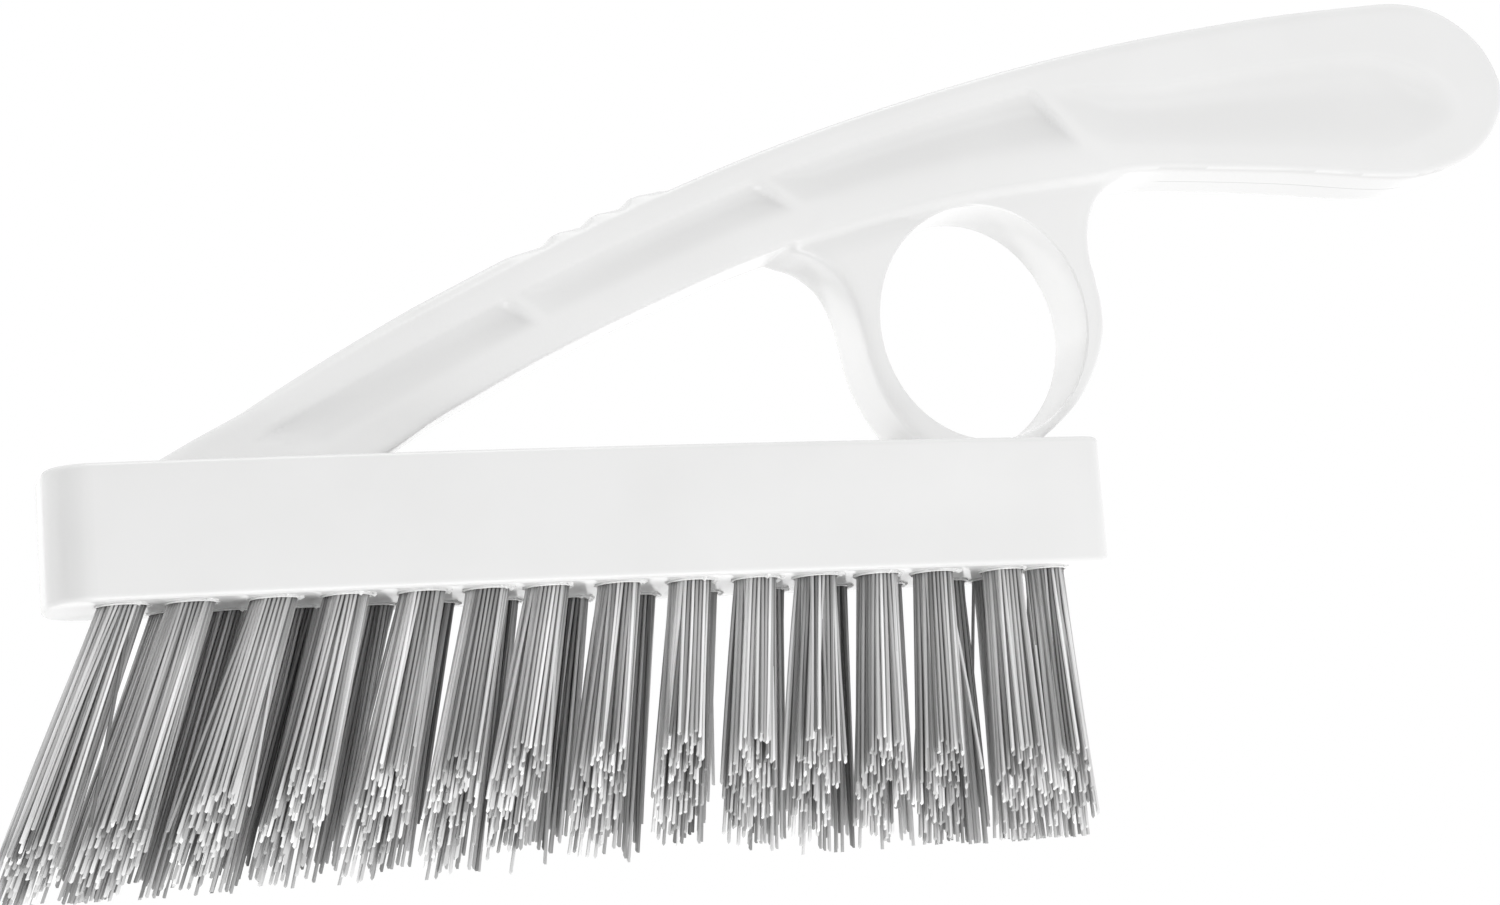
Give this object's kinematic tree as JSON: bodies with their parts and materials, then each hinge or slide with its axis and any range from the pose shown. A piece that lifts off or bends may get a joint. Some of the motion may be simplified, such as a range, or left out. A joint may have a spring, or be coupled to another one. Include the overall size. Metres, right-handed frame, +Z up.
{
  "type": "grout brush",
  "caption": "Narrow hand brush with a raised grip, a finger ring and staggered bristle tufts cut to a ridge, for scrubbing tile joints.",
  "frame": {"origin": "on the plane that the bristle tips stand on, under the middle of the whole brush", "axes": "+X from the nose of the block to the end of the grip, +Y across the brush to its back row of tufts, +Z up from the bristle tips to the handle"},
  "size_m": [0.231, 0.024, 0.1221],
  "materials": {
    "stock": "smooth moulded",
    "filament": "drawn nylon",
    "anchor": "plain wire"
  },
  "bodies": {
    "root": {"stock": "stock", "tuft_front_01": "filament", "tuft_front_02": "filament", "tuft_front_03": "filament", "tuft_front_04": "filament", "tuft_front_05": "filament", "tuft_front_06": "filament", "tuft_front_07": "filament", "tuft_front_08": "filament", "tuft_front_09": "filament", "tuft_front_10": "filament", "tuft_front_11": "filament", "tuft_front_12": "filament", "tuft_front_13": "filament", "tuft_front_14": "filament", "tuft_front_15": "filament", "tuft_back_01": "filament", "tuft_back_02": "filament", "tuft_back_03": "filament", "tuft_back_04": "filament", "tuft_back_05": "filament", "tuft_back_06": "filament", "tuft_back_07": "filament", "tuft_back_08": "filament", "tuft_back_09": "filament", "tuft_back_10": "filament", "tuft_back_11": "filament", "tuft_back_12": "filament", "tuft_back_13": "filament", "tuft_back_14": "filament", "anchor_front_01": "anchor", "anchor_front_02": "anchor", "anchor_front_03": "anchor", "anchor_front_04": "anchor", "anchor_front_05": "anchor", "anchor_front_06": "anchor", "anchor_front_07": "anchor", "anchor_front_08": "anchor", "anchor_front_09": "anchor", "anchor_front_10": "anchor", "anchor_front_11": "anchor", "anchor_front_12": "anchor", "anchor_front_13": "anchor", "anchor_front_14": "anchor", "anchor_front_15": "anchor", "anchor_back_01": "anchor", "anchor_back_02": "anchor", "anchor_back_03": "anchor", "anchor_back_04": "anchor", "anchor_back_05": "anchor", "anchor_back_06": "anchor", "anchor_back_07": "anchor", "anchor_back_08": "anchor", "anchor_back_09": "anchor", "anchor_back_10": "anchor", "anchor_back_11": "anchor", "anchor_back_12": "anchor", "anchor_back_13": "anchor", "anchor_back_14": "anchor"}
  },
  "joints": []
}
